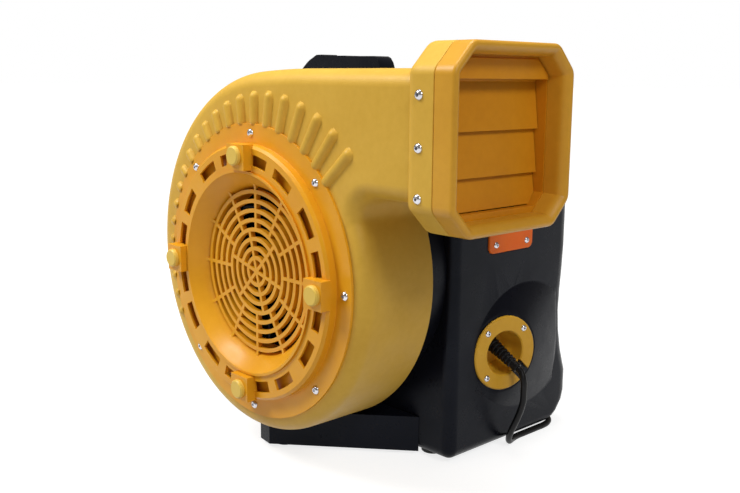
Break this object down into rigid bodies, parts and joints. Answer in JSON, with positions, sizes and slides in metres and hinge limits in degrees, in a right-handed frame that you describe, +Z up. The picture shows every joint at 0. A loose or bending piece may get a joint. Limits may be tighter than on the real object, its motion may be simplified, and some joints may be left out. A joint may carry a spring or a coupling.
{
  "type": "bouncy castle blower",
  "caption": "Scroll fan that keeps a bouncy castle inflated: ribbed yellow volute, grilled inlet, outlet frame with self-closing flaps, black motor cover and mains cord.",
  "frame": {"origin": "middle of the blower's own box on the ground, leaving out the mains cord and plug", "axes": "+X blows out of the outlet, -Y faces the inlet grille, +Z up"},
  "size_m": [0.5104, 0.5557, 0.4875],
  "materials": {
    "yellow_shell": "matte",
    "black_shell": "satin",
    "inlet_plastic": "satin",
    "pad_plastic": "satin",
    "flap_plastic": "satin",
    "screw_steel": "polished",
    "black_plastic": "satin",
    "shaft_steel": "satin",
    "lamination": "matte",
    "casting": "matte",
    "cord_rubber": "matte",
    "foot_rubber": "matte",
    "plate_plastic": "gloss"
  },
  "bodies": {
    "housing": {"front_scroll": "yellow_shell", "rear_scroll": "black_shell", "inlet_ring": "inlet_plastic", "inlet_grille": "inlet_plastic", "ring_pads": "pad_plastic", "flange_screws": "screw_steel", "outlet_frame": "yellow_shell", "damper_frame": "flap_plastic", "outlet_screws": "screw_steel", "stator_can": "casting", "front_end_bell": "casting", "rear_end_bell": "casting", "front_bearing": "shaft_steel", "rear_bearing": "shaft_steel", "motor_screws": "screw_steel", "fan_cowl": "black_plastic", "capacitor": "casting", "terminal_block": "black_plastic", "supply_lead": "cord_rubber", "motor_cover": "black_shell", "cover_posts": "casting", "cover_screws": "screw_steel", "base_cradle": "black_shell", "rubber_feet": "foot_rubber", "carry_handle": "black_plastic", "handle_screws": "screw_steel", "side_plate": "plate_plastic", "plate_screws": "screw_steel", "cord_cup": "pad_plastic", "cup_screws": "screw_steel", "strain_relief": "cord_rubber", "cord_run": "cord_rubber", "cord_coil": "cord_rubber", "cord_tail": "cord_rubber", "plug_body": "cord_rubber", "plug_pins": "shaft_steel"},
    "rotor": {"impeller": "black_plastic", "motor_shaft": "shaft_steel", "rotor_core": "lamination", "hub_nut": "screw_steel", "cooling_fan": "black_plastic"},
    "upper_flap": {"flap_top": "flap_plastic"},
    "middle_flap": {"flap_middle": "flap_plastic"},
    "lower_flap": {"flap_bottom": "flap_plastic"}
  },
  "joints": [
    {"name": "rotor_spin", "type": "hinge", "parent": "housing", "child": "rotor", "pos_m": [-0.0498, 0.013, 0.231], "axis": [0, 1, 0], "continuous": true},
    {"name": "flap_top_swing", "type": "hinge", "parent": "housing", "child": "upper_flap", "pos_m": [0.2142, -0.09625, 0.45242], "axis": [0, -1, 0], "range_deg": [0, 60]},
    {"name": "flap_middle_swing", "type": "hinge", "parent": "housing", "child": "middle_flap", "pos_m": [0.2142, -0.09625, 0.40769], "axis": [0, -1, 0], "range_deg": [0, 60]},
    {"name": "flap_bottom_swing", "type": "hinge", "parent": "housing", "child": "lower_flap", "pos_m": [0.2142, -0.09625, 0.3628], "axis": [0, -1, 0], "range_deg": [0, 60]}
  ],
  "couplings": [
    {"joint": "flap_middle_swing", "follows": "flap_top_swing", "ratio": 1},
    {"joint": "flap_bottom_swing", "follows": "flap_top_swing", "ratio": 1}
  ]
}
